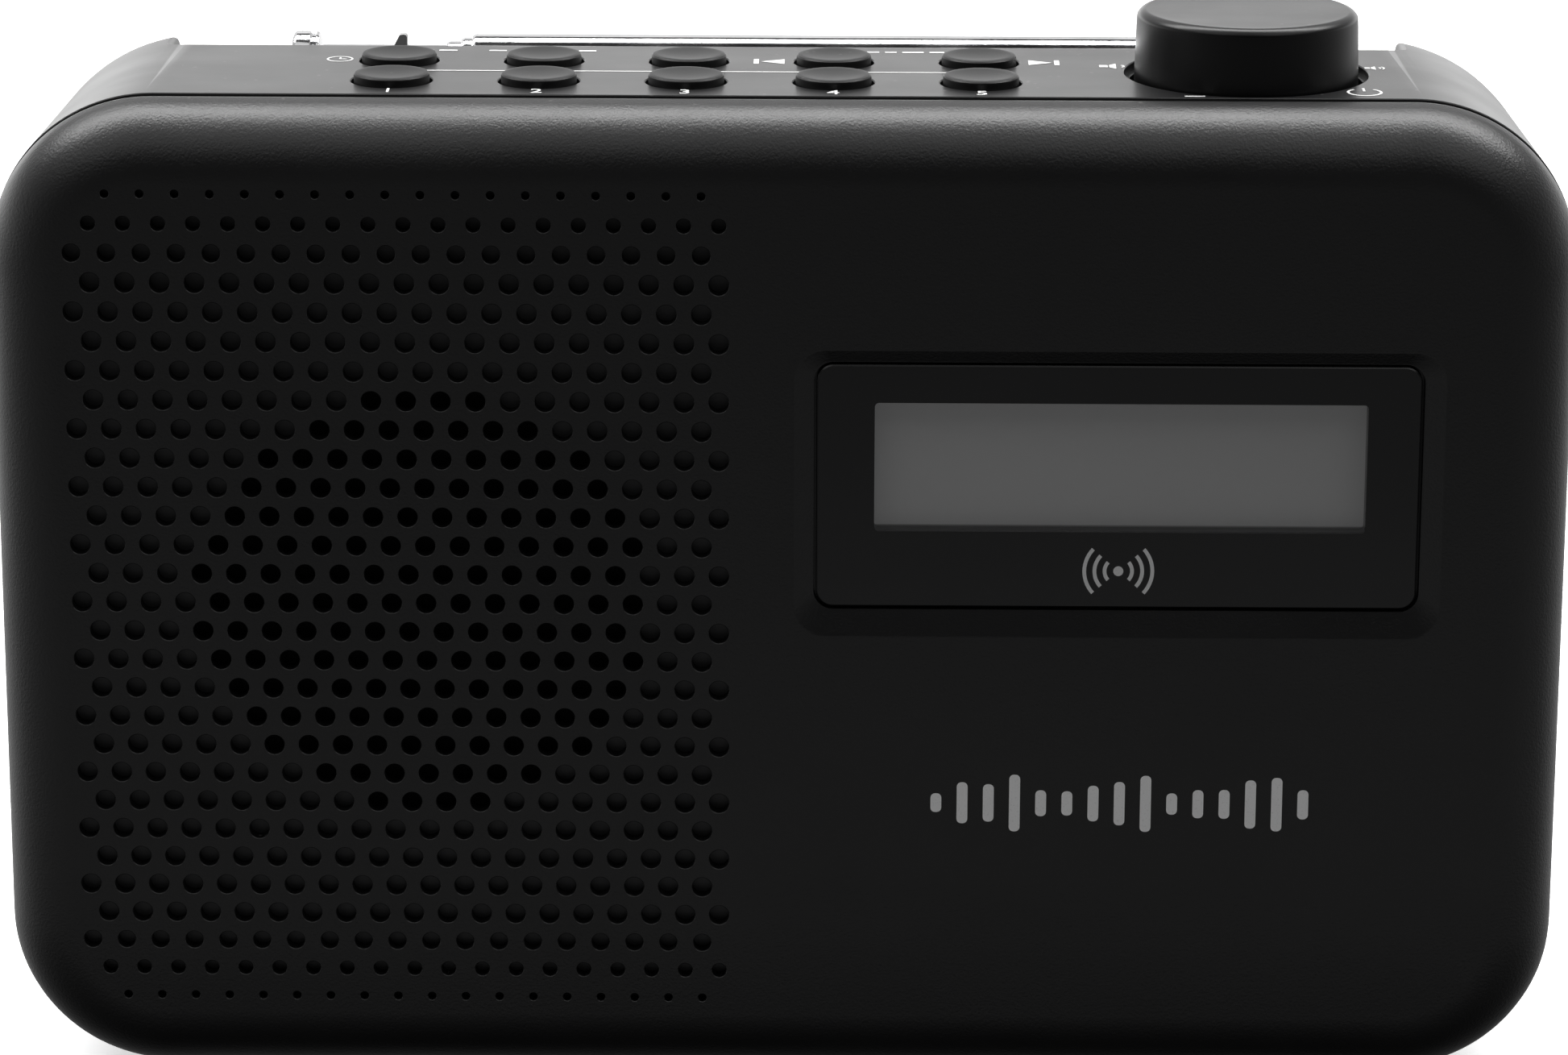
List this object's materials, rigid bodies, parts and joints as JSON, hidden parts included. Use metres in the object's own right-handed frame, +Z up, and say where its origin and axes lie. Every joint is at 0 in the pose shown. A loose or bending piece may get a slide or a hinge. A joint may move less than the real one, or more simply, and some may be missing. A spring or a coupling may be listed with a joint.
{
  "type": "tabletop radio",
  "caption": "Rounded black tabletop radio with a perforated front, a display window, top push buttons, a press-and-turn knob and a fold-away telescopic aerial.",
  "frame": {"origin": "under the middle of the radio, on the surface that its feet stand on", "axes": "+X to the user's right along the case, -Y out of the perforated front, +Z up"},
  "size_m": [0.187, 0.056, 0.1287],
  "materials": {
    "casing": "moulded satin black plastic with a fine grain",
    "buttons": "satin black plastic caps",
    "knob": "smooth satin black plastic",
    "window": "smoked window behind a satin hard coat",
    "lcd": "switched-off grey liquid crystal panel",
    "light_guide": "milky acrylic light guide",
    "board": "green solder mask",
    "chrome": "bright chrome plate",
    "steel": "zinc-plated steel",
    "rubber": "black rubber",
    "paper": "coated paper cone",
    "cloth": "woven black dust cloth",
    "magnet": "ferrite ring and plates",
    "socket": "black moulded socket",
    "wire": "plastic-sleeved wire"
  },
  "bodies": {
    "case": {"front_shell": "casing", "rear_casing": "casing", "antenna_clip": "casing", "lcd_frame": "casing", "display_window": "window", "lcd_panel": "lcd", "backlight": "light_guide", "main_board": "board", "key_board": "board", "encoder_board": "board", "socket_board": "board", "tuner_module": "steel", "encoder_body": "steel", "speaker_frame": "steel", "antenna_bracket": "steel", "battery_contact_lower": "steel", "battery_contact_upper": "steel", "case_screw_1": "steel", "case_screw_2": "steel", "case_screw_3": "steel", "case_screw_4": "steel", "button_mat": "rubber", "speaker_surround": "rubber", "foot_1": "rubber", "foot_2": "rubber", "foot_3": "rubber", "foot_4": "rubber", "speaker_cloth": "cloth", "speaker_magnet": "magnet", "headphone_socket": "socket", "power_socket": "socket", "speaker_wire": "wire", "antenna_wire": "wire"},
    "button_1": {"button_1": "buttons"},
    "button_2": {"button_2": "buttons"},
    "button_3": {"button_3": "buttons"},
    "button_4": {"button_4": "buttons"},
    "button_5": {"button_5": "buttons"},
    "button_6": {"button_6": "buttons"},
    "button_7": {"button_7": "buttons"},
    "button_8": {"button_8": "buttons"},
    "button_9": {"button_9": "buttons"},
    "button_10": {"button_10": "buttons"},
    "encoder_plunger": {"encoder_plunger": "socket"},
    "knob": {"knob": "knob", "encoder_shaft": "steel"},
    "speaker_cone": {"speaker_cone": "paper"},
    "battery_door": {"battery_door": "casing"},
    "antenna_swivel": {"antenna_swivel": "chrome", "antenna_screw": "steel", "antenna_pin": "steel"},
    "antenna_tube_1": {"antenna_knuckle": "chrome", "antenna_section_1": "chrome"},
    "antenna_tube_2": {"antenna_section_2": "chrome"},
    "antenna_tube_3": {"antenna_section_3": "chrome"},
    "antenna_tube_4": {"antenna_section_4": "chrome", "antenna_tip": "chrome"}
  },
  "joints": [
    {"name": "button_1_press", "type": "slide", "parent": "case", "child": "button_1", "axis": [0, 0, -1], "range_m": [0, 0.0008], "stiffness_N_per_m": 300},
    {"name": "button_2_press", "type": "slide", "parent": "case", "child": "button_2", "axis": [0, 0, -1], "range_m": [0, 0.0008], "stiffness_N_per_m": 300},
    {"name": "button_3_press", "type": "slide", "parent": "case", "child": "button_3", "axis": [0, 0, -1], "range_m": [0, 0.0008], "stiffness_N_per_m": 300},
    {"name": "button_4_press", "type": "slide", "parent": "case", "child": "button_4", "axis": [0, 0, -1], "range_m": [0, 0.0008], "stiffness_N_per_m": 300},
    {"name": "button_5_press", "type": "slide", "parent": "case", "child": "button_5", "axis": [0, 0, -1], "range_m": [0, 0.0008], "stiffness_N_per_m": 300},
    {"name": "button_6_press", "type": "slide", "parent": "case", "child": "button_6", "axis": [0, 0, -1], "range_m": [0, 0.0008], "stiffness_N_per_m": 300},
    {"name": "button_7_press", "type": "slide", "parent": "case", "child": "button_7", "axis": [0, 0, -1], "range_m": [0, 0.0008], "stiffness_N_per_m": 300},
    {"name": "button_8_press", "type": "slide", "parent": "case", "child": "button_8", "axis": [0, 0, -1], "range_m": [0, 0.0008], "stiffness_N_per_m": 300},
    {"name": "button_9_press", "type": "slide", "parent": "case", "child": "button_9", "axis": [0, 0, -1], "range_m": [0, 0.0008], "stiffness_N_per_m": 300},
    {"name": "button_10_press", "type": "slide", "parent": "case", "child": "button_10", "axis": [0, 0, -1], "range_m": [0, 0.0008], "stiffness_N_per_m": 300},
    {"name": "encoder_press", "type": "slide", "parent": "case", "child": "encoder_plunger", "axis": [0, 0, -1], "range_m": [0, 0.0007], "stiffness_N_per_m": 2500},
    {"name": "knob_turn", "type": "hinge", "parent": "encoder_plunger", "child": "knob", "pos_m": [0.0552, -0.0032, 0.1293], "axis": [0, 0, 1], "continuous": true},
    {"name": "speaker_cone_travel", "type": "slide", "parent": "case", "child": "speaker_cone", "axis": [0, -1, 0], "range_m": [-0.0008, 0.0008], "stiffness_N_per_m": 800},
    {"name": "battery_door_hinge", "type": "hinge", "parent": "case", "child": "battery_door", "pos_m": [0.03, 0.02675, 0.02865], "axis": [-1, 0, 0], "range_deg": [0, 90]},
    {"name": "antenna_swivel_turn", "type": "hinge", "parent": "case", "child": "antenna_swivel", "pos_m": [0.066, 0.0165, 0.1184], "axis": [0, 0, -1], "range_deg": [0, 90]},
    {"name": "antenna_tilt", "type": "hinge", "parent": "antenna_swivel", "child": "antenna_tube_1", "pos_m": [0.066, 0.0165, 0.1184], "axis": [0, 1, 0], "range_deg": [0, 90]},
    {"name": "antenna_extend_2", "type": "slide", "parent": "antenna_tube_1", "child": "antenna_tube_2", "axis": [-1, 0, 0], "range_m": [0, 0.084]},
    {"name": "antenna_extend_3", "type": "slide", "parent": "antenna_tube_2", "child": "antenna_tube_3", "axis": [-1, 0, 0], "range_m": [0, 0.084]},
    {"name": "antenna_extend_4", "type": "slide", "parent": "antenna_tube_3", "child": "antenna_tube_4", "axis": [-1, 0, 0], "range_m": [0, 0.084]}
  ],
  "couplings": [
    {"joint": "antenna_extend_2", "follows": "antenna_tilt", "m_per_rad": 0.0534},
    {"joint": "antenna_extend_3", "follows": "antenna_tilt", "m_per_rad": 0.0534},
    {"joint": "antenna_extend_4", "follows": "antenna_tilt", "m_per_rad": 0.0534}
  ]
}
